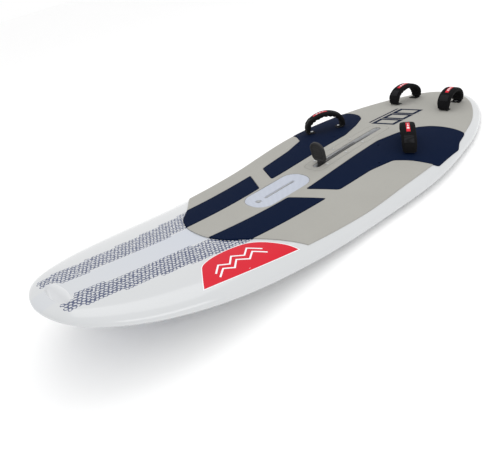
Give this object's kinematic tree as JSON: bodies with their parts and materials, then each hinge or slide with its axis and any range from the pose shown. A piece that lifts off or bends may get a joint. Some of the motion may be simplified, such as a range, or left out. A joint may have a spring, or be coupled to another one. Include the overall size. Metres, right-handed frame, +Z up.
{
  "type": "windsurf board",
  "caption": "Windsurf board with a cushioned deck pad, a mast track, padded foot straps, a carry scoop at the nose and a daggerboard that swings down through a slot.",
  "frame": {"origin": "under the middle of the hull's length and width, on its flat bottom", "axes": "+X to the nose, +Y to port, +Z up"},
  "size_m": [2.434, 0.8572, 0.2793],
  "materials": {
    "hull_laminate": "gloss",
    "foam": "matte",
    "white_moulding": "satin",
    "mast_plate": "matte",
    "slot_frame": "matte",
    "plug_plastic": "matte",
    "blade_composite": "satin",
    "lever_rubber": "matte",
    "seal_rubber": "matte",
    "pad_grey": "matte, fine texture",
    "pad_navy": "matte, fine texture",
    "strap_padding": "neoprene",
    "strap_webbing": "woven",
    "stainless_screw": "satin"
  },
  "bodies": {
    "hull": {"bottom_shell": "hull_laminate", "daggerboard_case": "white_moulding", "daggerboard_pivot_pin": "stainless_screw", "deck_pad": "pad_grey", "deck_shell": "hull_laminate", "fin_box": "plug_plastic", "foam_core": "foam", "frame_screw_port_1": "stainless_screw", "frame_screw_port_2": "stainless_screw", "frame_screw_port_3": "stainless_screw", "frame_screw_starboard_1": "stainless_screw", "frame_screw_starboard_2": "stainless_screw", "frame_screw_starboard_3": "stainless_screw", "mast_plate": "mast_plate", "mast_track_box": "white_moulding", "navy_pad_front_port": "pad_navy", "navy_pad_front_starboard": "pad_navy", "navy_pad_rear_port": "pad_navy", "navy_pad_rear_starboard": "pad_navy", "nose_handle_cup": "white_moulding", "slot_frame": "slot_frame", "slot_seal_port": "seal_rubber", "slot_seal_starboard": "seal_rubber", "strap_cover_front_port": "strap_padding", "strap_cover_front_starboard": "strap_padding", "strap_cover_rear_port": "strap_padding", "strap_cover_rear_starboard": "strap_padding", "strap_plug_front_port_inboard": "plug_plastic", "strap_plug_front_port_outboard": "plug_plastic", "strap_plug_front_starboard_inboard": "plug_plastic", "strap_plug_front_starboard_outboard": "plug_plastic", "strap_plug_rear_port_inboard": "plug_plastic", "strap_plug_rear_port_outboard": "plug_plastic", "strap_plug_rear_starboard_inboard": "plug_plastic", "strap_plug_rear_starboard_outboard": "plug_plastic", "strap_plug_spare_aft_port": "plug_plastic", "strap_plug_spare_aft_starboard": "plug_plastic", "strap_plug_spare_fore_port": "plug_plastic", "strap_plug_spare_fore_starboard": "plug_plastic", "strap_plug_spare_mid_port": "plug_plastic", "strap_plug_spare_mid_starboard": "plug_plastic", "strap_screw_front_port_inboard": "stainless_screw", "strap_screw_front_port_outboard": "stainless_screw", "strap_screw_front_starboard_inboard": "stainless_screw", "strap_screw_front_starboard_outboard": "stainless_screw", "strap_screw_rear_port_inboard": "stainless_screw", "strap_screw_rear_port_outboard": "stainless_screw", "strap_screw_rear_starboard_inboard": "stainless_screw", "strap_screw_rear_starboard_outboard": "stainless_screw", "strap_webbing_front_port": "strap_webbing", "strap_webbing_front_starboard": "strap_webbing", "strap_webbing_rear_port": "strap_webbing", "strap_webbing_rear_starboard": "strap_webbing", "vent_insert": "stainless_screw"},
    "daggerboard": {"daggerboard_blade": "blade_composite", "daggerboard_lever": "lever_rubber"},
    "vent_plug": {"vent_screw": "stainless_screw"}
  },
  "joints": [
    {"name": "daggerboard_swing", "type": "hinge", "parent": "hull", "child": "daggerboard", "pos_m": [-0.15, 0, 0.075], "axis": [0, -1, 0], "range_deg": [0, 85]},
    {"name": "vent_screw_turn", "type": "hinge", "parent": "hull", "child": "vent_plug", "pos_m": [0.294, 0, 0.1262], "axis": [0, 0, 1], "range_deg": [0, 720]}
  ]
}
